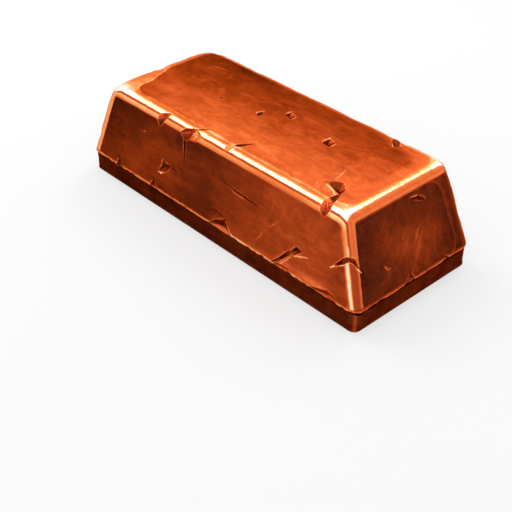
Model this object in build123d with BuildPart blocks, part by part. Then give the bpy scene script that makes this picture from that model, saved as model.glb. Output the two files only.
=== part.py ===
from build123d import *
import os

# A cast copper ingot: one piece of metal that leans in from a lip to its top, above a plain upright foot.
# X runs along the ingot, Z is up, and the origin is the middle of its base. All sizes are in millimetres.

# Overall form, with the length and width taken at the lip
length = 250.0
width = 103.0
height = 68.0
foot_height = 14.2
lip_overhang = 1.3
end_lean = 18.5
side_lean = 7.4

# Rounded corners and edges
foot_corner_radius = 5.0
upright_edge_radius = 6.8
top_edge_radius = 6.6
lip_edge_bevel = 0.5
base_edge_bevel = 0.8

# How deep the damage goes, measured into the metal from the face or edge that it starts on
edge_chip_depth = 4.4
chip_step_depth = 3.3
far_notch_depth = 5.4
left_notch_depth = 4.2
corner_notch_depth = 3.6
lip_chip_depth = 3.0
lip_chip_drop = 0.8
flake_depth = 2.3
pit_depth = 2.2
deep_pit_depth = 2.7
crack_depth = 1.8
dent_depth = 1.2

# How far a cutter stands proud of the metal, so that it leaves no skin
clearance = 1.0

# Lines that the damage is measured from
left = -length / 2
right = length / 2
near_top_edge = side_lean - width / 2
far_top_edge = width / 2 - side_lean
left_top_edge = left + end_lean
body_height = height - foot_height


def side_lean_at(z):
    """How far the long sides have leaned in at this height."""
    return side_lean * (z - foot_height) / body_height


def end_lean_at(z):
    """How far the ends have leaned in at this height."""
    return end_lean * (z - foot_height) / body_height


def top(x, y, depth=0.0):
    """A point on the top face, or below it."""
    return Vector(x, y, height - depth)


def near_side(x, z, depth=0.0):
    """A point on the near long side, or behind it."""
    return Vector(x, side_lean_at(z) - width / 2 + depth, z)


def far_side(x, z):
    """A point on the far long side."""
    return Vector(x, width / 2 - side_lean_at(z), z)


def right_end(y, z, depth=0.0):
    """A point on the right end face, or behind it."""
    return Vector(right - end_lean_at(z) - depth, y, z)


def left_end(y, z):
    """A point on the left end face."""
    return Vector(left + end_lean_at(z), y, z)


# Planes just outside the metal, where the mouths of the cutters lie
above_top = Plane(origin=(0, 0, height + clearance), z_dir=(0, 0, 1))
off_near_top_edge = Plane(origin=(0, near_top_edge - clearance, height + clearance), z_dir=(0, -1, 1))
off_far_top_edge = Plane(origin=(0, far_top_edge + clearance, height + clearance), z_dir=(0, 1, 1))
off_left_top_edge = Plane(origin=(left_top_edge - clearance, 0, height + clearance), z_dir=(-1, 0, 1))
off_near_side = Plane(origin=(0, -width / 2 - clearance, 0), z_dir=(0, -1, 0))
off_right_end = Plane(origin=(right + clearance, 0, 0), z_dir=(1, 0, 0))


def pyramid(mouth_plane, deepest, outline):
    """A cutter that opens from its deepest point, through its outline on the metal, up to the mouth plane."""
    rise = (mouth_plane.origin - deepest).dot(mouth_plane.z_dir)
    mouth = []
    for corner in outline:
        ray = corner - deepest
        reach = rise / ray.dot(mouth_plane.z_dir)
        mouth.append(mouth_plane.to_local_coords(deepest + ray * reach))
    with BuildSketch(mouth_plane) as opening:
        Polygon(*[(point.X, point.Y) for point in mouth], align=None)
    with BuildPart() as cutter:
        loft(sections=[opening.sketch.face(), Vertex(*deepest)])
    return cutter.part


# Chips across the near top edge
first_chip = pyramid(
    off_near_top_edge,
    top(left + 72.6, near_top_edge + edge_chip_depth, edge_chip_depth),
    [
        top(left + 69.8, near_top_edge + 0.5),
        top(left + 77.7, near_top_edge + 5.6),
        near_side(left + 79.2, height - 1.0),
        near_side(left + 74.6, height - 6.2),
        near_side(left + 72.4, height - 8.8),
        near_side(left + 69.4, height - 3.4),
    ],
)
second_chip = pyramid(
    off_near_top_edge,
    top(left + 97.4, near_top_edge + edge_chip_depth, edge_chip_depth),
    [
        near_side(left + 92.3, height - 5.2),
        top(left + 96.2, near_top_edge + 0.4),
        top(left + 104.2, near_top_edge + 4.6),
        near_side(left + 107.0, height - 1.6),
        near_side(left + 100.6, height - 7.2),
        near_side(left + 97.5, height - 9.0),
    ],
)
second_chip_step = pyramid(
    off_near_top_edge,
    top(left + 105.0, near_top_edge + chip_step_depth, chip_step_depth),
    [
        top(left + 103.2, near_top_edge + 4.4),
        top(left + 110.2, near_top_edge + 2.0),
        near_side(left + 113.6, height - 1.6),
        near_side(left + 106.4, height - 6.0),
        near_side(left + 100.2, height - 6.8),
    ],
)
third_chip = pyramid(
    above_top,
    top(left + 132.8, near_top_edge + 3.8, flake_depth),
    [
        top(left + 128.4, near_top_edge + 0.8),
        top(left + 129.2, near_top_edge + 3.4),
        top(left + 133.2, near_top_edge + 8.8),
        top(left + 135.0, near_top_edge + 5.2),
        top(left + 136.4, near_top_edge + 0.8),
    ],
)
second_chip_tail = pyramid(
    above_top,
    top(left + 104.6, near_top_edge + 5.6, crack_depth),
    [
        top(left + 102.8, near_top_edge + 3.6),
        top(left + 109.2, near_top_edge + 10.0),
        top(left + 105.4, near_top_edge + 4.2),
    ],
)
third_chip_tail = pyramid(
    above_top,
    top(left + 134.6, near_top_edge + 9.8, crack_depth),
    [
        top(left + 132.6, near_top_edge + 7.8),
        top(left + 140.6, near_top_edge + 18.6),
        top(left + 136.2, near_top_edge + 8.2),
    ],
)
fourth_chip = pyramid(
    off_near_top_edge,
    top(right - 35.6, near_top_edge + edge_chip_depth, edge_chip_depth),
    [
        top(right - 39.6, near_top_edge + 0.8),
        top(right - 38.4, near_top_edge + 6.2),
        top(right - 33.2, near_top_edge + 5.4),
        near_side(right - 30.6, height - 1.6),
        near_side(right - 34.0, height - 6.6),
        near_side(right - 37.8, height - 3.6),
    ],
)

# Notches in the far top edge and in the left end's top edge
far_edge_notch = pyramid(
    off_far_top_edge,
    top(right - 51.4, far_top_edge - 7.2, far_notch_depth),
    [
        top(right - 58.6, far_top_edge - 4.8),
        top(right - 52.2, far_top_edge - 11.2),
        top(right - 49.4, far_top_edge - 11.0),
        top(right - 48.0, far_top_edge - 5.0),
        far_side(right - 47.4, height - 3.4),
        far_side(right - 55.8, height - 2.6),
    ],
)
left_edge_notch = pyramid(
    off_left_top_edge,
    top(left_top_edge + left_notch_depth, -2.6, left_notch_depth),
    [
        top(left_top_edge + 3.4, -7.2),
        top(left_top_edge + 7.4, -4.4),
        top(left_top_edge + 4.6, 1.8),
        left_end(1.2, height - 3.0),
        left_end(-6.2, height - 2.6),
    ],
)

# The deep pit beside the fourth chip, and three small ones along the middle of the top
chip_side_pit = pyramid(
    above_top,
    top(right - 41.4, near_top_edge + 20.0, deep_pit_depth),
    [
        top(right - 50.6, near_top_edge + 19.4),
        top(right - 44.4, near_top_edge + 26.0),
        top(right - 38.0, near_top_edge + 20.8),
        top(right - 36.6, near_top_edge + 14.4),
        top(right - 42.8, near_top_edge + 16.6),
    ],
)
chip_to_pit_groove = pyramid(
    above_top,
    top(right - 36.2, near_top_edge + 8.0, pit_depth),
    [
        top(right - 40.2, near_top_edge + 4.0),
        top(right - 39.0, near_top_edge + 8.6),
        top(right - 37.8, near_top_edge + 16.6),
        top(right - 36.4, near_top_edge + 15.8),
        top(right - 32.6, near_top_edge + 4.2),
    ],
)
left_pit = pyramid(
    above_top,
    top(left + 114.9, 1.8, pit_depth),
    [
        top(left + 112.6, 2.2),
        top(left + 114.2, 5.4),
        top(left + 116.8, 2.0),
        top(left + 115.2, -1.4),
    ],
)
middle_pit = pyramid(
    above_top,
    top(right - 121.4, 13.4, pit_depth),
    [
        top(right - 124.0, 12.6),
        top(right - 123.1, 17.3),
        top(right - 117.0, 16.1),
        top(right - 116.9, 10.5),
    ],
)
right_pit = pyramid(
    above_top,
    top(right - 81.4, 7.8, pit_depth),
    [
        top(right - 83.8, 4.4),
        top(right - 83.7, 11.6),
        top(right - 78.0, 10.7),
        top(right - 77.0, 3.9),
    ],
)

# The notch across the upright edge, with an arm running down each face
side_arm_notch = pyramid(
    off_near_side,
    near_side(right - 14.6, height - 24.4, corner_notch_depth),
    [
        near_side(right - 23.2, height - 33.0),
        near_side(right - 14.4, height - 27.0),
        near_side(right - 8.0, height - 25.2),
        near_side(right - 8.0, height - 20.8),
        near_side(right - 13.4, height - 21.6),
    ],
)
end_arm_notch = pyramid(
    off_right_end,
    right_end(near_top_edge + 0.8, height - 24.6, corner_notch_depth),
    [
        right_end(near_top_edge - 6.0, height - 20.8),
        right_end(near_top_edge - 6.0, height - 25.2),
        right_end(near_top_edge - 0.2, height - 26.4),
        right_end(near_top_edge + 3.6, height - 31.4),
        right_end(near_top_edge + 0.6, height - 23.0),
    ],
)

# Pits and cracks of the near side
star_pit = pyramid(
    off_near_side,
    near_side(left + 79.8, height - 34.2, pit_depth),
    [
        near_side(left + 73.2, height - 39.4),
        near_side(left + 76.4, height - 34.6),
        near_side(left + 77.2, height - 29.0),
        near_side(left + 80.2, height - 31.4),
        near_side(left + 85.4, height - 30.8),
        near_side(left + 83.6, height - 34.8),
        near_side(left + 78.8, height - 38.8),
    ],
)
chip_crack = pyramid(
    off_near_side,
    near_side(left + 97.4, height - 11.6, crack_depth),
    [
        near_side(left + 96.2, height - 8.6),
        near_side(left + 97.7, height - 22.6),
        near_side(left + 98.6, height - 8.6),
    ],
)
slanted_crack = pyramid(
    off_near_side,
    near_side(right - 103.0, height - 22.4, crack_depth),
    [
        near_side(right - 114.8, height - 20.8),
        near_side(right - 104.0, height - 23.2),
        near_side(right - 84.4, height - 23.4),
        near_side(right - 102.6, height - 21.6),
    ],
)
lip_crack = pyramid(
    off_near_side,
    near_side(right - 60.0, foot_height + 8.4, crack_depth),
    [
        near_side(right - 68.6, foot_height + 0.4),
        near_side(right - 65.4, foot_height + 2.0),
        near_side(right - 52.6, foot_height + 14.8),
        near_side(right - 54.6, foot_height + 16.2),
    ],
)
lip_crack_pit = pyramid(
    off_near_side,
    near_side(right - 50.4, foot_height + 17.0, pit_depth),
    [
        near_side(right - 55.0, foot_height + 14.6),
        near_side(right - 51.8, foot_height + 13.8),
        near_side(right - 44.6, foot_height + 19.4),
        near_side(right - 50.6, foot_height + 20.4),
    ],
)
end_dent = pyramid(
    off_right_end,
    right_end(14.0, height - 10.9, dent_depth),
    [
        right_end(6.8, height - 9.2),
        right_end(14.4, height - 9.4),
        right_end(18.6, height - 14.4),
        right_end(13.6, height - 12.0),
    ],
)

# Chips in the lip, which open downwards over the foot
below_lip = foot_height - lip_chip_drop
first_lip_notch = pyramid(
    off_near_side,
    near_side(left + 31.2, foot_height + 1.4, lip_chip_depth),
    [
        near_side(left + 27.4, below_lip),
        near_side(left + 37.0, below_lip),
        near_side(left + 31.8, foot_height + 6.2),
    ],
)
second_lip_notch = pyramid(
    off_near_side,
    near_side(left + 69.4, foot_height + 1.4, lip_chip_depth),
    [
        near_side(left + 63.6, below_lip),
        near_side(left + 75.8, below_lip),
        near_side(left + 68.6, foot_height + 5.8),
    ],
)
large_lip_chip = pyramid(
    off_near_side,
    near_side(left + 136.4, foot_height + 2.8, lip_chip_depth),
    [
        near_side(left + 122.6, below_lip),
        near_side(left + 147.2, below_lip),
        near_side(left + 138.6, foot_height + 9.2),
        near_side(left + 130.4, foot_height + 5.6),
    ],
)
crack_lip_flake = pyramid(
    off_near_side,
    near_side(right - 60.0, foot_height + 0.8, flake_depth),
    [
        near_side(right - 70.4, below_lip),
        near_side(right - 50.2, below_lip),
        near_side(right - 55.0, foot_height + 3.6),
        near_side(right - 65.0, foot_height + 2.6),
    ],
)
long_lip_flake = pyramid(
    off_near_side,
    near_side(right - 24.0, foot_height + 1.0, flake_depth),
    [
        near_side(right - 43.0, below_lip),
        near_side(right - 13.6, below_lip),
        near_side(right - 17.4, foot_height + 4.2),
        near_side(right - 23.0, foot_height + 5.6),
        near_side(right - 34.0, foot_height + 2.4),
    ],
)
near_end_lip_notch = pyramid(
    off_right_end,
    right_end(-4.6, foot_height + 1.4, lip_chip_depth),
    [
        right_end(-11.0, below_lip),
        right_end(0.6, below_lip),
        right_end(-3.2, foot_height + 5.8),
    ],
)
far_end_lip_notch = pyramid(
    off_right_end,
    right_end(27.6, foot_height + 0.8, flake_depth),
    [
        right_end(22.6, below_lip),
        right_end(33.2, below_lip),
        right_end(27.4, foot_height + 3.2),
    ],
)

damage = [
    first_chip,
    second_chip,
    second_chip_step,
    second_chip_tail,
    third_chip,
    third_chip_tail,
    fourth_chip,
    far_edge_notch,
    left_edge_notch,
    chip_side_pit,
    chip_to_pit_groove,
    left_pit,
    middle_pit,
    right_pit,
    side_arm_notch,
    end_arm_notch,
    star_pit,
    chip_crack,
    slanted_crack,
    lip_crack,
    lip_crack_pit,
    end_dent,
    first_lip_notch,
    second_lip_notch,
    large_lip_chip,
    crack_lip_flake,
    long_lip_flake,
    near_end_lip_notch,
    far_end_lip_notch,
]

with BuildPart() as ingot:
    # The body leans in to the top: its long sides are one slope, and its ends are cut to another
    with BuildSketch(Plane.YZ.offset(left)):
        with BuildLine():
            Polyline(
                (-width / 2, foot_height),
                (width / 2, foot_height),
                (far_top_edge, height),
                (near_top_edge, height),
                close=True,
            )
        make_face()
    extrude(amount=length)
    with BuildSketch(Plane.XZ.offset(-width / 2)):
        with BuildLine():
            Polyline(
                (left, foot_height),
                (right, foot_height),
                (right - end_lean, height),
                (left_top_edge, height),
                close=True,
            )
        make_face()
    extrude(amount=width, mode=Mode.INTERSECT)
    level_edges = ingot.edges().filter_by(Axis.X) + ingot.edges().filter_by(Axis.Y)
    fillet(ingot.edges() - level_edges, upright_edge_radius)
    fillet(ingot.faces().sort_by(Axis.Z)[-1].edges(), top_edge_radius)

    # The upright foot, a little inside the lip
    with BuildSketch(Plane.XY):
        RectangleRounded(length - 2 * lip_overhang, width - 2 * lip_overhang, foot_corner_radius)
    extrude(amount=foot_height)
    chamfer(ingot.faces().sort_by(Axis.Z)[0].edges(), base_edge_bevel)
    lip_face = ingot.faces().filter_by(Axis.Z).sort_by(Axis.Z)[1]
    chamfer(lip_face.outer_wire().edges(), lip_edge_bevel)

    for cutter in damage:
        add(cutter, mode=Mode.SUBTRACT)

ingot.part.label = "ingot"
os.makedirs("parts", exist_ok=True)
export_step(ingot.part, "parts/ingot.step")
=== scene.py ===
import math
import bpy
import bmesh
import numpy as np
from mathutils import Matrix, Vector
from mathutils.bvhtree import BVHTree


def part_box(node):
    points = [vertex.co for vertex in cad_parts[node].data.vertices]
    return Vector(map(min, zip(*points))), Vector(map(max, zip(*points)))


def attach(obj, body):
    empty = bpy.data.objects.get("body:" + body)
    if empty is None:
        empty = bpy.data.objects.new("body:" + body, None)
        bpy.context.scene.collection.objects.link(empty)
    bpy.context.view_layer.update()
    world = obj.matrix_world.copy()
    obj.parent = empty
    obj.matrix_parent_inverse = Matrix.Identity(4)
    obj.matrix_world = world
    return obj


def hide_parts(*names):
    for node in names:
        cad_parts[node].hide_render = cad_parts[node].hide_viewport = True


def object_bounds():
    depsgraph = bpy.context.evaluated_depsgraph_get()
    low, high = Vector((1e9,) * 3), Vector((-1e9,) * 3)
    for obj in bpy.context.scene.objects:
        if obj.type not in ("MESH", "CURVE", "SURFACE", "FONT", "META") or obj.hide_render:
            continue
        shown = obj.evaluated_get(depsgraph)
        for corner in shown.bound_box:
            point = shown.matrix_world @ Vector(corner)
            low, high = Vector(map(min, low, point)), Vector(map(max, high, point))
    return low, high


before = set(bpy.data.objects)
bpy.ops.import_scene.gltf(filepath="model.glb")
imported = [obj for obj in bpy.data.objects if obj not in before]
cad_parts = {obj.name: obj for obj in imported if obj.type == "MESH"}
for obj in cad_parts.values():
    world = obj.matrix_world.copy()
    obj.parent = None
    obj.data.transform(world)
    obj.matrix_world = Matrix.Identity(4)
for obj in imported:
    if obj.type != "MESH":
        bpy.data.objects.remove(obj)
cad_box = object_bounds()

# A worn cast copper ingot, in metres: X along it, Z up, the origin in the middle of its base.

MM = 0.001

# The ingot's form, as its solid has it
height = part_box("ingot")[1].z
length = 250.0 * MM
width = 103.0 * MM
lip_height = 14.2 * MM
end_lean = 18.5 * MM
side_lean = 7.4 * MM
rim_radius = 6.6 * MM
upright_radius = 6.8 * MM
foot_corner_radius = 5.0 * MM
lip_overhang = 1.3 * MM

# The surface counts as the foot's from this far below the lip
foot_start = 0.3 * MM

# Corners of the solid's facets that lie nearer than this are one
merge_distance = 1e-6

# The skin: how fine it is, and how far its relief goes
voxel = 0.5 * MM
skin_triangles = 190000
wave_size = 38.0 * MM
wave_depth = 0.40 * MM
cast_size = 6.0 * MM
cast_depth = 0.14 * MM
edge_wear_size = 9.0 * MM
edge_wear_depth = 0.5 * MM
lip_wear_size = 6.0 * MM
lip_wear_depth = 0.8 * MM
lip_wear_reach = 1.6 * MM

# The levels of noise from which wear sets in and at which it is whole
edge_wear_onset = (-0.2, 0.7)
lip_wear_onset = (-0.3, 0.8)

# The relief dies out between these heights, so that the base stays flat
flat_base = (0.6 * MM, 2.5 * MM)

# How far below its cast form the metal lies where damage starts, and where it counts as broken open
chip_start = 0.14 * MM
chip_open = 0.34 * MM

# The cast form has a step at the lip, so damage starts to count at the first of these distances from it, and
# counts in full from the second one on
lip_step = (0.2 * MM, 0.9 * MM)

# The line between two rubbed strips, as a share of the way across each rounding that it runs along
rim_line = 0.50
right_rim_line = 0.40
left_rim_line = 0.64
right_upright_line = 0.55
left_upright_line = 0.28

# How much narrower the strips are on the upright edges, and how round the line turns down into them
upright_narrowing = 1.25
line_turn = 0.75

# How far in from the edges of its face the darker middle of each face starts, and how round its corners are
top_in_from_near = 9.0 * MM
top_in_from_far = 5.0 * MM
top_in_from_right = 5.5 * MM
top_corner = 9.0 * MM
side_in_from_left = 2.6 * MM
side_in_from_right = 5.0 * MM
side_in_from_top = 4.0 * MM
side_in_from_lip = 1.2 * MM
side_corner = 5.0 * MM
end_in_from_near = 6.5 * MM
end_in_from_far = 13.0 * MM
end_in_from_top = 5.8 * MM
end_in_from_lip = 2.2 * MM
end_near_corner = 4.0 * MM
end_far_corner = 9.0 * MM
foot_in_from_lip = 1.0 * MM
foot_corner_turn = 4.0 * MM

# How far each face's patina blends into the next one's
face_blend = 1.2 * MM

# A crack or scratch is this much of its full width at its two ends
end_width = 0.35

# The directions that painted light and shade come from: one for the relief of the worn surface, and one for
# the facets inside chips
relief_light_side = np.array([-0.60, -0.25, 0.76])
facet_light_side = np.array([-0.50, -0.80, 0.33])

# Places below are in millimetres on a face: top (x, y), near and far side (x, z), and right and left end
# (y, z).

# Lighter and darker clouds in the patina, with their reach both ways and their strength
clouds = [
    ("near", (-106.0, 56.0), (24.0, 20.0), -0.13),
    ("near", (-76.0, 46.0), (14.0, 12.0), -0.06),
    ("near", (108.0, 34.0), (9.0, 22.0), -0.08),
    ("near", (-50.0, 36.0), (24.0, 18.0), 0.07),
    ("near", (-78.0, 24.0), (16.0, 9.0), 0.05),
    ("near", (-10.0, 30.0), (16.0, 30.0), -0.03),
    ("near", (86.0, 34.0), (14.0, 14.0), 0.05),
    ("near", (91.0, 18.5), (13.0, 3.0), 0.27),
    ("near", (66.0, 19.5), (6.0, 3.0), 0.12),
    ("near", (45.0, 17.0), (12.0, 2.5), 0.14),
    ("right", (-10.0, 40.0), (16.0, 12.0), 0.11),
    ("right", (10.0, 32.0), (18.0, 12.0), 0.15),
    ("right", (-38.0, 36.0), (8.0, 26.0), -0.07),
    ("right", (48.0, 40.0), (12.0, 60.0), -0.15),
    ("top", (-84.0, -30.0), (16.0, 9.0), -0.10),
    ("top", (0.0, -26.0), (44.0, 12.0), 0.04),
    ("top", (-60.0, 38.0), (30.0, 8.0), -0.12),
    ("top", (84.0, -4.0), (20.0, 22.0), 0.04),
    ("top", (-32.0, -18.0), (22.0, 9.0), 0.05),
    ("far", (60.0, 36.0), (30.0, 16.0), 0.08),
    ("far", (-70.0, 44.0), (26.0, 18.0), -0.08),
    ("far", (-10.0, 26.0), (30.0, 14.0), 0.05),
    ("left", (10.0, 34.0), (20.0, 14.0), 0.10),
    ("left", (-30.0, 50.0), (16.0, 16.0), -0.06),
]

# Bright glows on the top at its corners and near edge, partly metal rubbed clean by handling and partly
# painted highlight, with their reach and their strength
glows = [
    ("top", (102.5, -41.5), 9.0, 0.24),
    ("top", (103.0, 39.0), 7.0, 0.16),
    ("top", (-104.0, -42.0), 9.0, 0.30),
    ("top", (-90.0, -43.0), 7.0, 0.16),
    ("top", (60.0, -43.5), 6.0, 0.10),
]

# Corners of the top that have been knocked blunt, with the reach and the depth of the blow
knocks = [
    ("top", (-105.5, 43.0), 9.0, 2.2),
    ("top", (-105.5, -43.0), 7.0, 1.6),
    ("top", (105.5, 43.0), 6.0, 0.8),
    ("top", (105.5, -43.0), 5.0, 0.4),
]

# Cracks and scratches, each with its half width and its depth
cracks = [
    ("near", [(10.2, 47.2), (21.5, 45.9), (30.0, 45.3), (41.2, 44.5)], 0.6, 0.5),
    ("near", [(-27.6, 59.0), (-27.5, 52.0), (-27.3, 45.0)], 0.6, 0.5),
    ("top", [(-22.0, -40.6), (-19.6, -38.2), (-15.6, -33.8)], 0.5, 0.4),
    ("top", [(8.8, -35.4), (11.6, -31.0), (15.6, -25.2)], 0.5, 0.4),
    ("top", [(72.6, -25.4), (76.5, -22.6), (80.0, -19.0)], 0.5, 0.4),
    ("near", [(56.6, 15.0), (60.8, 18.8), (65.2, 23.0), (71.6, 29.8)], 0.7, 0.5),
    ("near", [(-57.0, 22.0), (-55.6, 18.6), (-52.0, 14.4), (-49.4, 10.8)], 0.8, 1.0),
    ("near", [(-94.6, 22.4), (-92.6, 18.6), (-89.8, 14.6)], 0.7, 0.9),
    ("near", [(-39.6, 35.6), (-36.0, 35.8), (-33.0, 34.8)], 0.5, 0.5),
    ("near", [(2.0, 25.0), (6.0, 25.6), (11.4, 24.6)], 0.5, 0.5),
    ("near", [(8.0, 17.6), (12.4, 20.4), (14.6, 23.4)], 0.8, 0.8),
    ("right", [(-3.6, 20.6), (-3.0, 17.4), (-6.8, 13.4)], 0.9, 0.8),
    ("right", [(7.2, 58.7), (12.5, 57.5), (14.0, 56.3), (16.7, 56.5), (18.3, 54.0)], 0.6, 0.5),
    ("top", [(-43.8, -1.6), (-42.2, -1.0)], 1.0, 0.9),
    ("top", [(-56.6, 7.6), (-54.8, 8.2)], 0.8, 0.6),
]

# Thin bright lines, partly metal rubbed clean and partly painted highlights on the rims of chips, pits and
# cracks, each with its half width and its strength
gleams = [
    ("top", [(75.0, -26.8), (79.0, -27.8), (83.0, -29.0), (86.6, -31.4)], 0.7, 1.0),
    ("top", [(76.1, -20.6), (74.0, -13.4), (72.5, -6.9)], 0.6, 0.5),
    ("top", [(-50.0, -43.6), (-47.2, -38.6)], 0.6, 0.9),
    ("near", [(-27.0, 60.4), (-24.0, 62.2), (-20.0, 64.6), (-15.6, 65.8)], 1.0, 1.0),
    ("top", [(10.6, -42.8), (10.4, -39.6), (10.8, -36.4)], 0.7, 1.0),
    ("near", [(73.2, 27.6), (77.3, 29.6), (84.3, 31.8)], 0.6, 0.8),
    ("near", [(62.6, 16.2), (67.0, 21.4), (71.8, 26.4)], 0.6, 0.6),
    ("near", [(3.7, 14.6), (9.0, 15.2), (14.4, 15.6)], 0.7, 0.5),
    ("near", [(16.4, 20.4), (20.8, 15.6), (29.6, 14.8)], 0.7, 0.7),
    ("near", [(42.0, 23.2), (45.0, 27.0), (47.0, 30.4)], 0.4, 0.35),
    ("near", [(52.0, 36.6), (55.6, 40.2), (57.6, 42.6)], 0.4, 0.3),
    ("top", [(-12.9, 0.6), (-12.3, 3.6), (-10.7, 6.2)], 0.5, 0.8),
    ("top", [(0.5, 13.2), (0.9, 17.0), (2.4, 18.4)], 0.5, 0.8),
    ("top", [(8.4, 11.2), (8.6, 15.6)], 0.5, 0.6),
    ("top", [(40.6, 5.2), (40.5, 9.6), (41.4, 12.6)], 0.5, 0.8),
    ("top", [(48.4, 4.4), (48.0, 9.6)], 0.5, 0.6),
    ("top", [(67.0, 38.6), (70.2, 36.6), (73.0, 32.0)], 0.6, 0.9),
    ("top", [(76.4, 37.6), (77.6, 41.4), (80.4, 41.8)], 0.7, 0.9),
    ("top", [(-100.6, -6.4), (-101.6, -2.6), (-101.4, 2.6)], 0.9, 1.0),
    ("right", [(6.6, 59.6), (9.4, 59.8), (13.0, 59.0)], 0.5, 0.5),
    ("right", [(16.6, 57.8), (19.0, 54.4)], 0.5, 0.4),
    ("near", [(-52.4, 28.0), (-48.5, 28.4), (-44.6, 31.6)], 0.6, 0.9),
    ("near", [(-47.4, 39.6), (-48.4, 35.4)], 0.5, 0.5),
    ("near", [(101.0, 34.4), (106.0, 38.6), (112.2, 41.4)], 0.7, 1.0),
    ("right", [(-48.6, 42.4), (-44.6, 40.6), (-40.6, 35.8)], 0.6, 0.9),
    ("right", [(-22.5, 32.1), (-20.8, 29.0), (-18.4, 28.8)], 0.5, 0.5),
    ("right", [(10.6, 43.0), (7.8, 39.5), (4.8, 35.0)], 0.4, 0.3),
    ("right", [(13.0, 41.0), (6.5, 31.0), (1.0, 23.0), (-4.0, 17.4)], 2.2, 0.09),
    ("right", [(0.0, 40.0), (-6.0, 33.0), (-14.0, 27.0)], 3.0, 0.06),
    ("top", [(-81.0, 24.8), (-74.8, 26.5), (-68.0, 26.5)], 0.6, 0.3),
    ("top", [(-14.0, 18.0), (-9.4, 18.8)], 0.6, 0.3),
    ("near", [(-69.0, 49.6), (-66.4, 50.4)], 0.6, 0.4),
]

# How bright the copper is across the upper part of each rim, from where the rounding leaves the top, 0, to
# where it meets the side, 1: rubbed metal, with a painted highlight in its brightest band. Brightness runs
# from 0, nearly black patina, to 1, freshly rubbed metal.
near_rim = [
    (-0.5, 0.64), (-0.05, 0.66), (0.05, 0.74), (0.14, 0.84), (0.26, 0.93), (0.44, 0.92), (1.2, 0.92)]
near_rim_left = [
    (-0.5, 0.74), (-0.2, 0.78), (0.0, 0.84), (0.16, 0.90), (0.30, 0.93), (0.44, 0.92), (1.2, 0.92)]
far_rim = [
    (-0.5, 0.46), (-0.1, 0.50), (0.10, 0.60), (0.26, 0.80), (0.44, 0.92), (1.2, 0.86)]
right_rim = [
    (-0.6, 0.64), (-0.2, 0.75), (0.0, 0.79), (0.12, 0.84), (0.20, 0.92), (0.32, 0.92), (0.40, 0.82),
    (1.2, 0.82)]
left_rim = [
    (-0.5, 0.70), (-0.1, 0.77), (0.10, 0.80), (0.30, 0.80), (0.40, 0.90), (0.56, 0.92), (1.2, 0.86)]

# The same across the strips below the line, rubbed metal that is partly painted highlight, by how far past
# the line each place lies as a share of the rounding
side_strip = [
    (-0.08, 0.50), (0.05, 0.47), (0.11, 0.80), (0.18, 0.84), (0.28, 0.78), (0.37, 0.74), (0.48, 0.60)]
end_strip = [
    (-0.02, 0.84), (0.05, 0.73), (0.30, 0.68), (0.46, 0.71), (0.54, 0.76), (0.62, 0.66), (0.9, 0.60)]

# The same round the upright edges and the foot's corners, from the long side, 0, to the end, 1. The bright
# line down the front edge is rubbed metal and painted highlight.
front_upright_wear_and_highlight = [
    (0.0, 0.46), (0.14, 0.56), (0.20, 0.74), (0.25, 0.95), (0.39, 0.96), (0.45, 0.62), (0.51, 0.46),
    (0.84, 0.44), (0.90, 0.64), (1.1, 0.54)]
back_upright = [
    (0.0, 0.40), (0.25, 0.50), (0.40, 0.82), (0.50, 0.80), (0.70, 0.70), (0.78, 0.40), (0.84, 0.29),
    (1.2, 0.28)]
foot_corner = [
    (0.0, 0.16), (0.28, 0.20), (0.38, 0.34), (0.52, 0.46), (0.66, 0.32), (0.76, 0.20), (1.0, 0.14)]

# The same up the body from the foot, in millimetres above the lip: a dark line of painted shadow under the
# lip, and a bright line on it, worn metal and painted highlight
lip_line = [
    (-2.2, 0.14), (-1.2, 0.08), (-0.2, 0.08), (0.1, 0.62), (1.0, 0.76), (1.9, 0.62), (3.4, 0.46)]

# The same on the facets inside chips, as painted light and shade by how squarely each one faces the light
# side for facets. In a pit away from the edges they have this share of the brightness round it.
facets = [
    (-1.0, 0.14), (-0.35, 0.20), (-0.10, 0.40), (0.10, 0.54), (0.30, 0.62), (0.60, 0.68), (0.80, 0.80),
    (1.0, 0.90)]
pit_facets = [
    (-1.0, 0.25), (-0.4, 0.32), (0.0, 0.38), (0.4, 0.50), (0.8, 0.76), (1.0, 0.90)]

# How bright rubbed ridges, scratches and painted highlights are, the brightest facet, and the bottom of a
# crack
ridge_and_highlight_brightness = 0.93
scratch_and_highlight_brightness = 0.94
brightest_facet = 0.83
crack_brightness = 0.10

# How much the broad clouds, patches, streaks and grain of the patina show on the faces
broad_strength = 0.18
patch_strength = 0.22
streak_strength = 0.18
grain_strength = 0.06

# How rough the patina is, and how deep its grain
middle_roughness = 0.48
grain_depth = 0.6 * MM

# How far a ridge is rubbed towards its brightness for each metre that it stands out, and at most
ridge_rub = 9000.0
most_ridge_rub = 0.5

# How wide the rubbed strips are as a share of the rounding, and how much the patina's patches show in them
side_strip_width = 0.52
end_strip_width = 0.58
strip_patches = 0.12

# How far the borders between shades stray: round the rim, the upright edges and the strips as a share of the
# rounding, in from the edges of a face in metres, and up from the lip in millimetres
strays = {
    "rim": 0.06,
    "upright": 0.08,
    "side_strip": 0.06,
    "end_strip": 0.10,
    "inset": 3.5 * MM,
}
lip_stray = 2.6

# The place from which the photograph sees the ingot, with its turns in degrees down from level and round
# from Y
camera_place = (401.30 * MM, -379.99 * MM, 369.02 * MM)
camera_down = 36.266
camera_round = 47.402
camera_lens = 70.826

# The lamps, each with the direction that its light comes from and its brightness
lamps = [
    ("key_lamp", (-0.60, -0.10, 0.80), 5.0),
    ("back_lamp", (-0.10, 0.55, 0.83), 3.4),
]
lamp_distance = 0.9
lamp_size = 0.36

# The room's even light, and how far the pale floor reaches and how much it glows to the eye
room_light = 0.8
floor_reach = 4.0
floor_glow = 0.6


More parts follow.
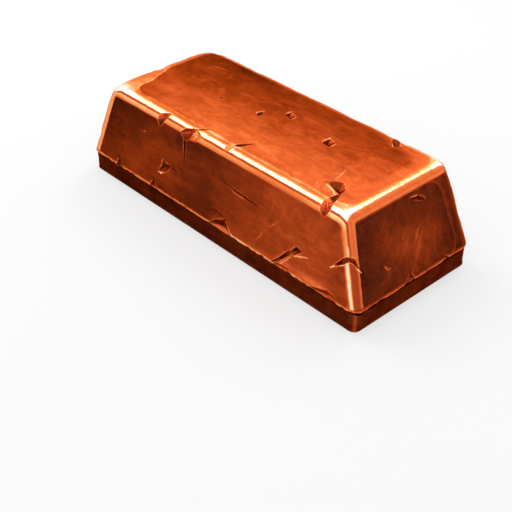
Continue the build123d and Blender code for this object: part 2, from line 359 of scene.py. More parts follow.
def srgb(red, green, blue):
    """A colour given as 0 to 255 on the screen, as the linear values that a shader takes."""
    def linear(value):
        value /= 255
        return value / 12.92 if value <= 0.04045 else ((value + 0.055) / 1.055) ** 2.4
    return linear(red), linear(green), linear(blue), 1.0


# The colours of the copper, from nearly black patina to freshly rubbed metal, and near-white at the top for
# painted highlights
copper_colours = [
    (0.00, srgb(32, 11, 8)),
    (0.10, srgb(58, 20, 12)),
    (0.20, srgb(88, 32, 17)),
    (0.30, srgb(116, 42, 19)),
    (0.40, srgb(146, 54, 22)),
    (0.50, srgb(178, 69, 30)),
    (0.60, srgb(208, 89, 45)),
    (0.70, srgb(234, 106, 54)),
    (0.80, srgb(250, 138, 70)),
    (0.88, srgb(255, 182, 118)),
    (0.94, srgb(255, 222, 172)),
    (1.00, srgb(255, 250, 232)),
]


def lattice(cells, seed):
    """A repeatable number from 0 to 1 for every whole-numbered corner of a grid."""
    mixed = cells[:, 0] * 73856093 ^ cells[:, 1] * 19349663 ^ cells[:, 2] * 83492791 ^ seed * 40503
    mixed = (mixed ^ (mixed >> 13)) * 1274126177 & 0xFFFFFFFF
    mixed = (mixed ^ (mixed >> 15)) * 668265263 & 0xFFFFFFFF
    return ((mixed ^ (mixed >> 16)) & 0xFFFF) / 65535.0


def noise(points, size, seed):
    """Smooth noise from -1 to 1, with lumps of this size."""
    grid_shift = 1000.0
    scaled = points / size + grid_shift
    cell = np.floor(scaled).astype(np.int64)
    part = scaled - cell
    part = part * part * (3 - 2 * part)
    total = np.zeros(len(points))
    for corner in np.ndindex(2, 2, 2):
        weight = np.ones(len(points))
        for axis in range(3):
            weight *= part[:, axis] if corner[axis] else 1 - part[:, axis]
        total += weight * lattice(cell + np.array(corner), seed)
    return total * 2 - 1


def layered_noise(points, size, seed, layers=3):
    """Noise with finer lumps laid over the large ones."""
    total = np.zeros(len(points))
    for layer in range(layers):
        total += noise(points, size / 2 ** layer, seed + layer) / 2 ** layer
    return total / (2 - 2 ** (1 - layers))


def ramp(value, start, end):
    """0 before start, 1 after end, and smooth between them."""
    part = np.clip((value - start) / (end - start), 0, 1)
    return part * part * (3 - 2 * part)


def read_points(mesh):
    flat = np.empty(len(mesh.vertices) * 3, np.float32)
    mesh.vertices.foreach_get("co", flat)
    return flat.reshape(-1, 3).astype(float)


def read_normals(mesh):
    flat = np.empty(len(mesh.vertices) * 3, np.float32)
    mesh.vertex_normals.foreach_get("vector", flat)
    return flat.reshape(-1, 3).astype(float)


def write_points(mesh, points):
    mesh.vertices.foreach_set("co", points.astype(np.float32).ravel())
    mesh.update()


def keep(mesh, name, values):
    """Keeps a number for each vertex under this name."""
    layer = mesh.attributes.new(name, "FLOAT", "POINT")
    layer.data.foreach_set("value", values.astype(np.float32))


def kept(mesh, name):
    """The numbers that are kept under this name."""
    values = np.empty(len(mesh.vertices), np.float32)
    mesh.attributes[name].data.foreach_get("value", values)
    return values.astype(float)


def with_modifier(piece, kind, **settings):
    """The piece's mesh as one modifier leaves it."""
    modifier = piece.modifiers.new(kind.title(), kind)
    for name, value in settings.items():
        setattr(modifier, name, value)
    graph = bpy.context.evaluated_depsgraph_get()
    mesh = bpy.data.meshes.new_from_object(piece.evaluated_get(graph))
    piece.modifiers.remove(modifier)
    return mesh


def on_face(face, first, second):
    """A point of the ingot's surface, from its two measures in millimetres on that face."""
    if face == "top":
        return np.array([first * MM, second * MM, height])
    rise = (second * MM - lip_height) / (height - lip_height)
    if face in ("near", "far"):
        side = -1 if face == "near" else 1
        return np.array([first * MM, side * (width / 2 - side_lean * rise), second * MM])
    end = 1 if face == "right" else -1
    return np.array([end * (length / 2 - end_lean * rise), first * MM, second * MM])


def stroke(points, line, half_width):
    """How deep inside a tapering line each point lies: 1 along its middle and 0 outside it."""
    strength = np.zeros(len(points))
    line = np.array(line)
    steps = np.linalg.norm(line[1:] - line[:-1], axis=1)
    starts = np.concatenate([[0], np.cumsum(steps)])
    whole = starts[-1]
    reach = 3 * half_width
    nearby = np.all((points > line.min(0) - reach) & (points < line.max(0) + reach), axis=1)
    close = points[nearby]
    best = np.zeros(len(close))
    for index, step in enumerate(steps):
        along = (line[index + 1] - line[index]) / step
        travelled = np.clip((close - line[index]) @ along, 0, step)
        gap = np.linalg.norm(close - line[index] - travelled[:, None] * along, axis=1)
        share = (starts[index] + travelled) / whole
        taper = end_width + (1 - end_width) * np.sin(np.pi * np.clip(share, 0.02, 0.98)) ** 0.7
        best = np.maximum(best, 1 - gap / (half_width * taper))
    strength[nearby] = np.maximum(best, 0)
    return strength


def nearness(points, place, reach):
    """1 at this place, fading to 0 round it."""
    return np.exp(-((points - place) ** 2).sum(1) / reach ** 2)


def round_off(first, second, agreement, radius):
    """How deep points lie below two faces with a rounding between them, and how far round it they are.

    The agreement is the cosine of the turn from one face to the other. The way round is 0 where the
    rounding leaves the first face and 1 where it meets the second, and runs on at the same pace over both.
    """
    past_first = radius - first
    past_second = radius - second
    square = 1 - agreement ** 2
    share_first = (past_first - agreement * past_second) / square
    share_second = (past_second - agreement * past_first) / square
    inside = (share_first > 0) & (share_second > 0)
    reach = np.sqrt(np.maximum(share_first * past_first + share_second * past_second, 0))
    depth = np.where(inside, radius - reach, np.minimum(first, second))
    sine = np.sqrt(square)
    turn = np.arccos(agreement)
    angle = np.arctan2(share_second * sine, share_first + share_second * agreement)
    pace = sine / (radius * turn)
    before = share_second * pace
    after = 1 - share_first * pace
    way = np.where(inside, angle / turn, np.where(share_first > share_second, before, after))
    return depth, way


def turned_corner(first, second, radius):
    """The lesser of two distances, with its level lines turning round where the two are alike."""
    lesser = np.minimum(first, second)
    rounded = radius - np.hypot(np.maximum(radius - first, 0), np.maximum(radius - second, 0))
    return np.where(lesser > radius, lesser, rounded)


class Form:
    """Where each point lies on the ingot as it was cast, before any damage."""

    def __init__(self, points):
        x, y, z = points.T
        body_height = height - lip_height
        side_slope = math.hypot(side_lean, body_height)
        end_slope = math.hypot(end_lean, body_height)
        top_to_side = side_lean / side_slope
        top_to_end = end_lean / end_slope
        rise = np.clip((z - lip_height) / body_height, 0, 1)
        self.points = points
        self.x, self.y, self.z = x, y, z
        self.above_lip = z - lip_height
        self.below_top = height - z
        self.in_from_side = (width / 2 - side_lean * rise - np.abs(y)) * body_height / side_slope
        self.in_from_end = (length / 2 - end_lean * rise - np.abs(x)) * body_height / end_slope

        walls, self.upright = round_off(
            self.in_from_side, self.in_from_end, top_to_side * top_to_end, upright_radius)
        corner = np.clip(self.upright, 0, 1) * math.pi / 2
        top_to_wall = top_to_side * np.cos(corner) + top_to_end * np.sin(corner)
        self.depth, self.rim = round_off(self.below_top, walls, top_to_wall, rim_radius)
        past_line = self.upright - np.where(x > 0, right_upright_line, left_upright_line)
        past_line = past_line * upright_narrowing
        end_rim_line = np.where(x > 0, right_rim_line, left_rim_line)
        self.side_strip = turned_corner(self.rim - rim_line, -past_line, line_turn)
        self.end_strip = turned_corner(self.rim - end_rim_line, past_line, line_turn)

        foot_side = width / 2 - lip_overhang - np.abs(y)
        foot_end = length / 2 - lip_overhang - np.abs(x)
        square_corner = 0.0
        foot_wall, foot_upright = round_off(foot_side, foot_end, square_corner, foot_corner_radius)
        self.on_foot = self.above_lip < -foot_start
        self.upright = np.where(self.on_foot, foot_upright, self.upright)
        self.depth = np.where(self.on_foot, np.minimum(foot_wall, z), self.depth)


def even_skin():
    """The ingot's solid as one even and fine skin, and a finder of the solid's own facets."""
    shape = bmesh.new()
    shape.from_mesh(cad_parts["ingot"].data)
    bmesh.ops.remove_doubles(shape, verts=shape.verts, dist=merge_distance)
    solid_facets = BVHTree.FromBMesh(shape)
    mesh = bpy.data.meshes.new("copper_ingot")
    shape.to_mesh(mesh)
    shape.free()
    piece = bpy.data.objects.new("copper_ingot", mesh)
    bpy.context.scene.collection.objects.link(piece)
    piece.data = with_modifier(piece, "REMESH", mode="VOXEL", voxel_size=voxel)
    return piece, solid_facets


def facet_directions(points, chip, solid_facets):
    """The way that the solid's nearest facet faces, for points inside chips."""
    directions = np.zeros((len(points), 3))
    for index in np.flatnonzero(chip > chip_start):
        directions[index] = solid_facets.find_nearest(Vector(points[index]))[1]
    return directions


def crisp_shading(mesh):
    """Smooth shading that stops at the border of each chip, with the solid's flat facets inside it."""
    mesh.polygons.foreach_set("use_smooth", np.ones(len(mesh.polygons), bool))
    shortest_sum = 1e-12
    shortest_facet = 0.5
    inside = kept(mesh, "chip") > chip_start
    sizes = np.empty(len(mesh.polygons), np.int32)
    mesh.polygons.foreach_get("loop_total", sizes)
    corners = np.empty(len(mesh.loops), np.int32)
    mesh.loops.foreach_get("vertex_index", corners)
    face_of_corner = np.repeat(np.arange(len(sizes)), sizes)
    whole = np.bincount(face_of_corner, inside[corners]) == 0
    face_normals = np.empty(len(sizes) * 3, np.float32)
    mesh.polygon_normals.foreach_get("vector", face_normals)
    face_normals = face_normals.reshape(-1, 3)
    areas = np.empty(len(sizes), np.float32)
    mesh.polygons.foreach_get("area", areas)
    weights = (areas * whole)[face_of_corner]

    normals = read_normals(mesh)
    count = len(mesh.vertices)
    sums = [np.bincount(corners, weights * face_normals[face_of_corner, axis], count) for axis in range(3)]
    outside = np.stack(sums, axis=1)
    lengths = np.linalg.norm(outside, axis=1)
    clear = ~inside & (lengths > shortest_sum)
    normals[clear] = outside[clear] / lengths[clear, None]
    facet = np.stack([kept(mesh, "facet_" + axis) for axis in "xyz"], axis=1)
    lengths = np.linalg.norm(facet, axis=1)
    clear = inside & (lengths > shortest_facet)
    normals[clear] = facet[clear] / lengths[clear, None]
    for axis in "xyz":
        mesh.attributes.remove(mesh.attributes["facet_" + axis])
    mesh.normals_split_custom_set_from_vertices(normals)


def on_rounding(way):
    """1 on a rounding and 0 off it, from the way round it."""
    return ramp(way, -0.1, 0.2) * ramp(-way, -1.1, -0.8)


def roughen(piece, form):
    """Casting waves, a fine cast surface, worn edges, blunt corners, an uneven lip and cracks."""
    points = form.points
    wave = layered_noise(points, wave_size, seed=3, layers=2)
    cast = layered_noise(points, cast_size, seed=11)
    depth = wave_depth * (0.5 - 0.5 * wave) + cast_depth * (0.5 - 0.5 * cast)

    on_upright = on_rounding(form.upright) * ramp(form.rim, 0.5, 1.0)
    edge_wear = ramp(layered_noise(points, edge_wear_size, seed=23), *edge_wear_onset)
    depth += np.maximum(on_rounding(form.rim), on_upright) * edge_wear * edge_wear_depth

    lip = np.exp(-(form.above_lip / lip_wear_reach) ** 2)
    lip_wear = ramp(layered_noise(points, lip_wear_size, seed=31), *lip_wear_onset)
    depth += lip * lip_wear * lip_wear_depth
    for face, place, reach, blow in knocks:
        depth += blow * MM * nearness(points, on_face(face, *place), reach * MM)

    crack = np.zeros(len(points))
    for face, line, half_width, crack_depth in cracks:
        cut = stroke(points, [on_face(face, *place) for place in line], half_width * MM)
        depth += cut * crack_depth * MM
        crack = np.maximum(crack, cut)

    depth *= ramp(points[:, 2], *flat_base)
    moved = points - read_normals(piece.data) * depth[:, None]
    write_points(piece.data, np.clip(moved, np.array(cad_box[0]), np.array(cad_box[1])))
    return crack


def scratches_and_highlights(form):
    """How bright the thin bright lines are: rubbed metal and painted highlights."""
    gleam = np.zeros(len(form.points))
    for face, line, half_width, strength in gleams:
        rubbed = stroke(form.points, [on_face(face, *place) for place in line], half_width * MM)
        gleam = np.maximum(gleam, rubbed * strength)
    return gleam


def smoothed(piece, rounds):
    """The piece's points and normals, as they are once its surface is smoothed."""
    mesh = with_modifier(piece, "SMOOTH", factor=0.5, iterations=rounds)
    points = read_points(mesh)
    normals = read_normals(mesh)
    bpy.data.meshes.remove(mesh)
    return points, normals


def ridges(piece):
    """How far each point stands out from the smoothed surface."""
    points, _ = smoothed(piece, rounds=6)
    stands_out = ((read_points(piece.data) - points) * read_normals(piece.data)).sum(1)
    return np.maximum(stands_out, 0)


def relief_light_and_shade(piece):
    """Painted light and shade on the relief: how much more each point faces the light side than the smoothed
    surface there does.
    """
    _, normals = smoothed(piece, rounds=20)
    return (read_normals(piece.data) - normals) @ relief_light_side


def panel_inset(form):
    """How far inside its face's darker middle each point lies. Below 0 is the brighter margin."""
    on_near_half = form.y < 0
    on_left_half = form.x < 0
    top_side_margin = np.where(on_near_half, top_in_from_near, top_in_from_far)
    top_in_from_left = (4.5 + 9.5 * ramp(-form.y, -12 * MM, 26 * MM)) * MM
    top_end_margin = np.where(on_left_half, top_in_from_left, top_in_from_right)
    side_margin = np.where(on_left_half, side_in_from_left, side_in_from_right)
    end_margin = np.where(on_near_half, end_in_from_near, end_in_from_far)
    end_corner = np.where(on_near_half, end_near_corner, end_far_corner)

    def middle(corner, *gaps):
        short = sum(np.maximum(corner - gap, 0) ** 2 for gap in gaps)
        return corner - np.sqrt(short)

    on_top = middle(
        top_corner, form.in_from_side - top_side_margin, form.in_from_end - top_end_margin)
    on_side = middle(
        side_corner, form.below_top - side_in_from_top, form.in_from_end - side_margin,
        form.above_lip - side_in_from_lip)
    on_end = middle(
        end_corner, form.below_top - end_in_from_top, form.in_from_side - end_margin,
        form.above_lip - end_in_from_lip)
    on_foot = middle(foot_corner_turn, -form.above_lip - foot_in_from_lip)

    gaps = np.stack([form.below_top, form.in_from_side, form.in_from_end])
    inset = np.choose(gaps.argmin(0), [on_top, on_side, on_end])
    return np.where(form.on_foot, on_foot, inset)


def face_shares(form):
    """How much each point belongs to each of the five faces above the foot."""
    gaps = np.stack([form.below_top, form.in_from_side, form.in_from_end])
    shares = np.exp(-np.clip((gaps - gaps.min(0)) * (1 / face_blend), 0, 40))
    top, side, end = shares / shares.sum(0)
    return {
        "top": top,
        "near": side * (form.y < 0),
        "far": side * (form.y >= 0),
        "right": end * (form.x > 0),
        "left": end * (form.x <= 0),
    }


def patina_tone(form):
    """How bright the copper is under its patina, 0 nearly black and 1 freshly rubbed metal, with painted
    light and shade in each face's level.
    """
    x, y, z = form.x, form.y, form.z
    share = face_shares(form)
    near_top_left = ramp(z, 46 * MM, 58 * MM) * ramp(-x, -40 * MM, 0.0)
    # Each face's level is partly patina and partly painted light and shade: the top lighter than the sides
    # and ends and towards its near edge, the near side lighter to the right
    level = {
        "top": 0.38 + 0.26 * ramp(-y, -38 * MM, 42 * MM) + 0.06 * ramp(x, -90 * MM, 60 * MM),
        "near": 0.32 + 0.14 * ramp(x, -8 * MM, 62 * MM) - 0.07 * near_top_left,
        "far": 0.26 + 0.12 * ramp(-x, -20 * MM, 70 * MM),
        "right": 0.25 + 0.02 * ramp(z, 30 * MM, 44 * MM),
        "left": 0.27,
    }
    tone = sum(share[face] * level[face] for face in share)
    measures = {"top": (x, y), "near": (x, z), "far": (x, z), "right": (y, z), "left": (y, z)}
    for face, place, reach, strength in clouds:
        first, second = measures[face]
        spread_first = (first / MM - place[0]) / reach[0]
        spread_second = (second / MM - place[1]) / reach[1]
        tone += share[face] * strength * np.exp(-spread_first ** 2 - spread_second ** 2)
    to_corner = turned_corner(form.in_from_side, form.in_from_end, 22 * MM)
    towards_far_right = ramp(x, 58 * MM, 84 * MM) * ramp(y, -16 * MM, 12 * MM)
    close_to_corner = ramp(-to_corner, -15 * MM, -9 * MM)
    tone += share["top"] * towards_far_right * close_to_corner * 0.17
    # The foot is darker: partly oxide and partly painted shade under the lip
    foot = 0.165 + 0.02 * x / (length / 2)
    return np.where(form.on_foot, foot, tone)


def corner_glow(form):
    """How much brighter the corners of the top are, from rubbed metal and painted highlight."""
    glow = np.zeros(len(form.points))
    for face, place, reach, strength in glows:
        glow += strength * nearness(form.points, on_face(face, *place), reach * MM)
    return glow


def thin_out(piece, marks):
    """Fewer triangles, where the surface is plain and carries no mark."""
    group = piece.vertex_groups.new(name="marks")
    group.add([int(index) for index in np.flatnonzero(marks)], 1.0, "REPLACE")
    triangles = 2 * len(piece.data.polygons)
    piece.data = with_modifier(piece, "DECIMATE", ratio=skin_triangles / triangles,
                               vertex_group="marks", invert_vertex_group=True)
    piece.vertex_groups.clear()


class Signal:
    """A value that changes over the surface in a material, and that is reckoned with like a number."""

    def __init__(self, tree, socket):
        self.tree = tree
        self.socket = socket

    def reckon(self, operation, other):
        node = self.tree.nodes.new("ShaderNodeMath")
        node.operation = operation
        self.tree.links.new(self.socket, node.inputs[0])
        join(self.tree, other, node.inputs[1])
        return Signal(self.tree, node.outputs[0])

    def __add__(self, other):
        return self.reckon("ADD", other)

    def __sub__(self, other):
        return self.reckon("SUBTRACT", other)

    def __mul__(self, other):
        return self.reckon("MULTIPLY", other)

    def opposite(self):
        """1 less this value, for a mask."""
        return self * -1.0 + 1.0

    def most(self, other):
        return self.reckon("MAXIMUM", other)

    def held(self, lowest=0.0, highest=1.0):
        return self.reckon("MAXIMUM", lowest).reckon("MINIMUM", highest)

    def step(self, start, end):
        """0 before start, 1 after end, and smooth between them."""
        node = self.tree.nodes.new("ShaderNodeMapRange")
        node.interpolation_type = "SMOOTHSTEP"
        self.tree.links.new(self.socket, node.inputs["Value"])
        node.inputs["From Min"].default_value = start
        node.inputs["From Max"].default_value = end
        return Signal(self.tree, node.outputs["Result"])

    def window(self, start, end, soft):
        """1 between start and end, and 0 outside them."""
        return self.step(start - soft, start + soft) * self.step(end - soft, end + soft).opposite()

    def profile(self, stops):
        """The level that a line through these stops has at this value."""
        first = stops[0][0]
        last = stops[-1][0]
        span = last - first
        greys = [((at - first) / span, (level, level, level, 1)) for at, level in stops]
        return ((self - first) * (1 / span)).colours(greys)

    def colours(self, stops):
        """The colour at this value, from 0 to 1, of a row of colours."""
        node = self.tree.nodes.new("ShaderNodeValToRGB")
        self.tree.links.new(self.socket, node.inputs["Fac"])
        band = node.color_ramp
        while len(band.elements) < len(stops):
            band.elements.new(1.0)
        for element, (position, colour) in zip(band.elements, stops):
            element.position = position
            element.color = colour
        return Signal(self.tree, node.outputs["Color"])

    def towards(self, other, amount):
        """This value where the amount is 0, and the other where it is 1."""
        node = self.tree.nodes.new("ShaderNodeMix")
        join(self.tree, amount, node.inputs["Factor"])
        join(self.tree, self, node.inputs["A"])
        join(self.tree, other, node.inputs["B"])
        return Signal(self.tree, node.outputs["Result"])


def join(tree, value, socket):
    """Leads a value into a socket, whether it changes over the surface or is a plain number."""
    if isinstance(value, Signal):
        tree.links.new(value.socket, socket)
    else:
        socket.default_value = value


class Surface:
    """What the copper's material knows of a place on the ingot."""

    def __init__(self, tree):
        self.tree = tree
        self.place = tree.nodes.new("ShaderNodeTexCoord").outputs["Object"]
        axes = tree.nodes.new("ShaderNodeSeparateXYZ")
        tree.links.new(self.place, axes.inputs[0])
        self.x, self.y, self.z = (Signal(tree, socket) for socket in axes.outputs)

        self.broad = self.mottle((22, 34, 30), detail=3.0, roughness=0.5, distortion=0.8)
        self.patches = self.mottle((70, 110, 95), detail=4.0, roughness=0.62, distortion=0.9)
        self.streaks = self.mottle((26, 190, 160), detail=3.0, roughness=0.6, distortion=0.5)
        self.fine = self.mottle((420, 420, 420), detail=3.0, roughness=0.6, distortion=0.0)
        self.specks = self.mottle((330, 400, 370), detail=2.0, roughness=0.5, distortion=0.3)
        self.wander = self.mottle((120, 120, 120), detail=3.0, roughness=0.55, distortion=0.4)

        self.rim, self.upright, self.side_strip, self.end_strip, self.inset = (
            self.carried(name) + self.wander * stray for name, stray in strays.items())
        self.above_lip = (self.z - lip_height) * (1 / MM) + self.wander * lip_stray
        self.on_body = self.above_lip.step(-0.2, 0.6)
        self.on_foot = self.above_lip.step(-1.4, -0.6).opposite()
        self.on_far_half = self.y.step(-1.0 * MM, 1.0 * MM)
        self.on_right_half = self.x.step(-1.0 * MM, 1.0 * MM)
        self.on_end = self.upright.step(0.42, 0.54)
        self.at_front = self.on_right_half * self.on_far_half.opposite()
        self.below_rim_line = self.side_strip.step(-0.09, -0.05)

    def carried(self, name):
        """A number that the skin keeps for each of its points."""
        node = self.tree.nodes.new("ShaderNodeAttribute")
        node.attribute_name = name
        return Signal(self.tree, node.outputs["Fac"])

    def mottle(self, stretch, detail, roughness, distortion):
        """Uneven spots from about -0.3 to 0.3, as many to a metre along each axis as the stretch says."""
        mapping = self.tree.nodes.new("ShaderNodeMapping")
        self.tree.links.new(self.place, mapping.inputs["Vector"])
        mapping.inputs["Scale"].default_value = stretch
        node = self.tree.nodes.new("ShaderNodeTexNoise")
        self.tree.links.new(mapping.outputs["Vector"], node.inputs["Vector"])
        node.inputs["Scale"].default_value = 1.0
        node.inputs["Detail"].default_value = detail
        node.inputs["Roughness"].default_value = roughness
        node.inputs["Distortion"].default_value = distortion
        return Signal(self.tree, node.outputs["Fac"]) - 0.5


def patina(at):
    """A mottled patina, with a brighter margin round each face's darker middle."""
    uneven = at.broad * broad_strength + at.patches * patch_strength
    uneven = uneven + at.streaks * streak_strength + at.fine * grain_strength
    uneven = uneven + at.patches.step(-0.04, 0.04) * 0.016 - 0.008
    uneven = uneven + at.specks.step(0.13, 0.19) * 0.02
    uneven = uneven - at.specks.step(-0.21, -0.14).opposite() * 0.05
    margin = at.inset.step(-0.5 * MM, 0.9 * MM).opposite()
    by_left_end = (at.x * -1.0).step(84 * MM, 92 * MM)
    shade = at.carried("tone") + uneven + margin * (by_left_end * 0.17 + 0.08)
    inner_margin = at.inset.window(-1.6 * MM, -0.4 * MM, 0.4 * MM)
    outer_middle = at.inset.window(0.2 * MM, 1.6 * MM, 0.5 * MM)
    return shade + inner_margin * 0.07 - outer_middle * 0.03


def with_strips(at, shade):
    """The strips below the rim's line, rubbed metal that is partly painted highlight, which turn down into
    the upright edges.
    """
    width = at.rim.step(1.0, 1.3).opposite() * 0.14 + at.wander * 0.3 + end_strip_width
    on_end_strip = at.end_strip.step(-0.02, 0.02) * (width - at.end_strip).step(-0.02, 0.03)
    shade = shade.towards(at.end_strip.profile(end_strip) + at.patches * 0.2, on_end_strip * at.on_body)

    at_left_end = at.x.step(-104 * MM, -94 * MM).opposite()
    strip = at.side_strip.profile(side_strip).most(at_left_end * 0.84) + at.patches * strip_patches
    strip = strip - at.x.window(34 * MM, 74 * MM, 6 * MM) * at.rim.step(0.5, 0.6) * 0.06
    # Brighter strip near the front corner and towards the left, rubbed metal and painted highlight
    brighter_ends = at.x.step(90 * MM, 96 * MM) * 0.12 + (at.x * -1.0).step(30 * MM, 60 * MM) * 0.06
    strip = strip + brighter_ends * at.side_strip.window(0.10, 0.40, 0.04) * at.rim.step(1.0, 1.6).opposite()
    width = at.x.step(-100 * MM, -80 * MM) * -0.08 + side_strip_width
    on_side_strip = at.below_rim_line * (width - at.side_strip).step(-0.02, 0.03)
    return shade.towards(strip, on_side_strip * at.on_body)


def with_upright_edges(at, shade):
    """The rubbed upright edges at the back and the front, where a notch cuts one, with a painted highlight
    down the front one and above its notch, and the foot's corners.
    """
    below_rim = at.rim.step(0.95, 1.25) * at.on_far_half * at.on_body
    back = at.upright.profile(back_upright) + at.patches * strip_patches
    shade = shade.towards(back, at.upright.window(0.0, 1.1, 0.1) * below_rim)

    below_notch = at.z.step(43.0 * MM, 45.0 * MM).opposite() * at.at_front * at.on_body
    front = at.upright.profile(front_upright_wear_and_highlight) + at.patches * strip_patches
    shade = shade.towards(front, at.upright.window(0.12, 0.96, 0.02) * below_notch)
    # A painted highlight on the front upright edge just above the notch
    above_notch = at.z.window(46 * MM, 51 * MM, 1.5 * MM) * at.at_front * at.on_body
    shade = shade.towards(ridge_and_highlight_brightness, at.upright.window(0.38, 0.52, 0.06) * above_notch)

    foot = at.upright.profile(foot_corner) + at.patches * 0.1
    return shade.towards(foot, at.upright.window(0.1, 0.9, 0.04) * at.on_foot)


def with_lip(at, shade):
    """The lip: a bright line, worn metal and painted highlight, over a dark line of painted shadow."""
    lip_wear_shadow_and_highlight = at.above_lip.profile(lip_line) + at.patches * 0.25
    brighter = at.x.window(-4 * MM, 78 * MM, 8 * MM) * at.on_end.opposite()
    lip_wear_shadow_and_highlight = lip_wear_shadow_and_highlight + brighter * 0.12 - at.on_end * 0.22
    return shade.towards(lip_wear_shadow_and_highlight, at.above_lip.window(-1.6, 2.4, 0.5))


def with_rim(at, shade):
    """The upper part of the rim, above the line, rubbed metal with a painted highlight, and the glows of
    painted highlight at its corners.
    """
    back = at.rim.profile(far_rim).towards(at.rim.profile(right_rim), at.x.step(60 * MM, 74 * MM))
    to_left = (at.x * -1.0).step(30 * MM, 90 * MM)
    front = at.rim.profile(near_rim).towards(at.rim.profile(near_rim_left), to_left)
    sides = front.towards(back, at.on_far_half)
    ends = at.rim.profile(left_rim).towards(at.rim.profile(right_rim), at.on_right_half)
    rim = sides.towards(ends, at.on_end) + at.patches * strip_patches
    above_line = at.below_rim_line.opposite() * at.end_strip.step(-0.02, 0.01).opposite()
    off_top = at.rim.step(-0.16, 0.04).towards(at.rim.step(-0.5, -0.05), at.on_end)
    return shade.towards(rim, off_top * above_line) + at.carried("glow") * above_line


def with_ridges_and_chips(at, shade):
    """Rubbed ridges, and painted light and shade on the relief and on the facets inside chips and pits, each
    as bright as it faces its light side.
    """
    # Painted light and shade on the relief, brighter where it turns towards the light side
    shade = shade + at.carried("painted_relief") * 0.30
    off_base = at.z.step(4 * MM, 7 * MM)
    rubbed = (at.carried("ridge") * ridge_rub).held(0.0, most_ridge_rub)
    shade = shade.towards(ridge_and_highlight_brightness, rubbed * off_base)

    facet_light = at.carried("facet_light")
    # Painted shade low in the chips under the top edge, and painted light high in them and on the notch's
    # up-facing facets
    by_top = at.z.step(52 * MM, 54 * MM)
    low_in_chip = by_top * at.z.step(59.5 * MM, 65 * MM).opposite()
    high_in_chip = at.z.step(61.5 * MM, 66 * MM) * (at.y * -1.0).step(30 * MM, 34 * MM)
    notch_floor = at.z.step(50 * MM, 52 * MM).opposite() * facet_light.step(0.08, 0.25)
    edge_facet = facet_light.profile(facets) + at.patches * 0.16
    edge_facet = edge_facet + high_in_chip * 0.26 + notch_floor * 0.14 - low_in_chip * 0.42
    darkest_facet = by_top.opposite() * 0.16 + 0.16
    edge_facet = edge_facet.held(darkest_facet, brightest_facet)

    on_right_end = at.x.step(100 * MM, 103 * MM) * at.z.step(58 * MM, 62 * MM).opposite()
    pit_facet = shade * facet_light.profile(pit_facets).towards(0.9, on_right_end * 0.7)
    off_rim = at.rim.step(-0.45, -0.2).opposite() + at.rim.step(1.3, 1.6)
    in_pit = off_rim * at.upright.window(-0.1, 1.1, 0.1).opposite()
    broken_open = at.carried("chip").step(chip_start, chip_open)
    return shade.towards(edge_facet.towards(pit_facet, in_pit), broken_open)


def with_scratches_highlights_and_cracks(at, shade):
    """Bright scratches and painted highlight lines, and cracks that are dark at the bottom."""
    shade = shade.towards(scratch_and_highlight_brightness, (at.carried("gleam") * 1.7).held())
    return shade.towards(crack_brightness, (at.carried("crack") * 1.6).held(0.0, 0.9))


def worn_copper():
    """Copper under a brown patina, bright where its edges are rubbed and dark in its cracks."""
    material = bpy.data.materials.new("worn_copper")
    material.use_nodes = True
    tree = material.node_tree
    tree.nodes.clear()
    at = Surface(tree)
    shade = patina(at)
    for layer in (with_strips, with_upright_edges, with_lip, with_rim, with_ridges_and_chips,
                  with_scratches_highlights_and_cracks):
        shade = layer(at, shade)
    shade = shade.held()

    rough = (at.patches * 0.30 + middle_roughness + shade * -0.16).held(0.2, 0.8)
    bump = tree.nodes.new("ShaderNodeBump")
    join(tree, at.fine * 0.5 + at.patches * 0.9, bump.inputs["Height"])
    bump.inputs["Strength"].default_value = 0.35
    bump.inputs["Distance"].default_value = grain_depth

    shader = tree.nodes.new("ShaderNodeBsdfPrincipled")
    shader.inputs["Metallic"].default_value = 1.0
    shader.inputs["Specular Tint"].default_value = srgb(222, 182, 168)
    join(tree, shade.colours(copper_colours), shader.inputs["Base Color"])
    join(tree, rough, shader.inputs["Roughness"])
    tree.links.new(bump.outputs["Normal"], shader.inputs["Normal"])
    output = tree.nodes.new("ShaderNodeOutputMaterial")
    tree.links.new(shader.outputs["BSDF"], output.inputs["Surface"])
    return material


def make_ingot():
    """The worn ingot, which takes the place of its plain solid."""
    piece, solid_facets = even_skin()
    form = Form(read_points(piece.data))
    chip = form.depth * ramp(np.abs(form.above_lip), *lip_step)
    facet = facet_directions(form.points, chip, solid_facets)
    ridge = ridges(piece)
    crack = roughen(piece, form)
    gleam = scratches_and_highlights(form)
    carried = {
        "crack": crack,
        "gleam": gleam,
        "rim": form.rim,
        "upright": form.upright,
        "side_strip": form.side_strip,
        "end_strip": form.end_strip,
        "chip": chip,
        # Painted light and shade on the facets inside chips
        "facet_light": facet @ facet_light_side,
        "facet_x": facet[:, 0],
        "facet_y": facet[:, 1],
        "facet_z": facet[:, 2],
        "ridge": ridge,
        # Painted light and shade on the relief
        "painted_relief": relief_light_and_shade(piece),
        "inset": panel_inset(form),
        "tone": patina_tone(form),
        "glow": corner_glow(form),
    }
    for name, values in carried.items():
        keep(piece.data, name, values)
    thin_out(piece, (crack > 0) | (gleam > 0) | (chip > chip_start))
    crisp_shading(piece.data)
    piece.data.materials.clear()
    piece.data.materials.append(worn_copper())
    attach(piece, "root")
    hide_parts("ingot")


def shown_to_eye(tree):
    """1 for rays from the camera and those that a shiny or clear surface sends on, and 0 for the rest."""
    paths = tree.nodes.new("ShaderNodeLightPath")
    rays = Signal(tree, paths.outputs["Is Camera Ray"])
    for name in ("Is Glossy Ray", "Is Transmission Ray"):
        rays = rays.most(Signal(tree, paths.outputs[name]))
    return rays


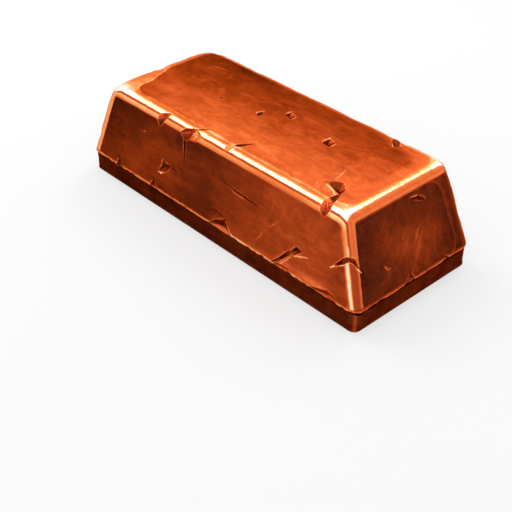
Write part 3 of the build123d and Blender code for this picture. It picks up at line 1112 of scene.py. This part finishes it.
def make_floor():
    """A large pale floor that looks white and keeps the ingot's shadow."""
    shape = bmesh.new()
    bmesh.ops.create_grid(shape, x_segments=1, y_segments=1, size=floor_reach)
    mesh = bpy.data.meshes.new("floor")
    shape.to_mesh(mesh)
    shape.free()
    floor = bpy.data.objects.new("floor", mesh)
    bpy.context.scene.collection.objects.link(floor)
    material = bpy.data.materials.new("pale_floor")
    material.use_nodes = True
    tree = material.node_tree
    tree.nodes.clear()
    matt = tree.nodes.new("ShaderNodeBsdfDiffuse")
    matt.inputs["Color"].default_value = srgb(240, 240, 240)
    white = tree.nodes.new("ShaderNodeEmission")
    mix = tree.nodes.new("ShaderNodeMixShader")
    join(tree, shown_to_eye(tree) * floor_glow, mix.inputs[0])
    tree.links.new(matt.outputs["BSDF"], mix.inputs[1])
    tree.links.new(white.outputs["Emission"], mix.inputs[2])
    output = tree.nodes.new("ShaderNodeOutputMaterial")
    tree.links.new(mix.outputs["Shader"], output.inputs["Surface"])
    floor.data.materials.append(material)


def make_world():
    """Even soft light all round, which the eye sees as white."""
    world = bpy.data.worlds.new("studio")
    bpy.context.scene.world = world
    world.use_nodes = True
    tree = world.node_tree
    tree.nodes.clear()
    soft = tree.nodes.new("ShaderNodeBackground")
    soft.inputs["Color"].default_value = (1, 1, 1, 1)
    soft.inputs["Strength"].default_value = room_light
    white = tree.nodes.new("ShaderNodeBackground")
    white.inputs["Color"].default_value = (1, 1, 1, 1)
    white.inputs["Strength"].default_value = 1.0
    mix = tree.nodes.new("ShaderNodeMixShader")
    join(tree, shown_to_eye(tree), mix.inputs[0])
    tree.links.new(soft.outputs["Background"], mix.inputs[1])
    tree.links.new(white.outputs["Background"], mix.inputs[2])
    output = tree.nodes.new("ShaderNodeOutputWorld")
    tree.links.new(mix.outputs["Shader"], output.inputs["Surface"])


def make_lamp(name, direction, radiance):
    """A soft square lamp that shines on the ingot from this direction."""
    lamp = bpy.data.lights.new(name, "AREA")
    lamp.shape = "SQUARE"
    lamp.size = lamp_size
    lamp.energy = radiance * math.pi * lamp_size * lamp_size
    towards = Vector(direction).normalized()
    holder = bpy.data.objects.new(name, lamp)
    holder.location = towards * lamp_distance + Vector((0, 0, height / 2))
    holder.rotation_mode = "QUATERNION"
    holder.rotation_quaternion = towards.to_track_quat("Z", "Y")
    bpy.context.scene.collection.objects.link(holder)


def make_camera():
    """The camera, which sees the ingot as the photograph does."""
    camera = bpy.data.cameras.new("camera")
    camera.lens = camera_lens
    camera.sensor_width = 36.0
    camera.clip_start = 0.01
    holder = bpy.data.objects.new("camera", camera)
    holder.location = camera_place
    holder.rotation_euler = (math.radians(90 - camera_down), 0, math.radians(camera_round))
    bpy.context.scene.collection.objects.link(holder)
    bpy.context.scene.camera = holder


make_ingot()
make_floor()
make_world()
for name, direction, radiance in lamps:
    make_lamp(name, direction, radiance)
make_camera()
bpy.context.scene.view_settings.view_transform = "Standard"
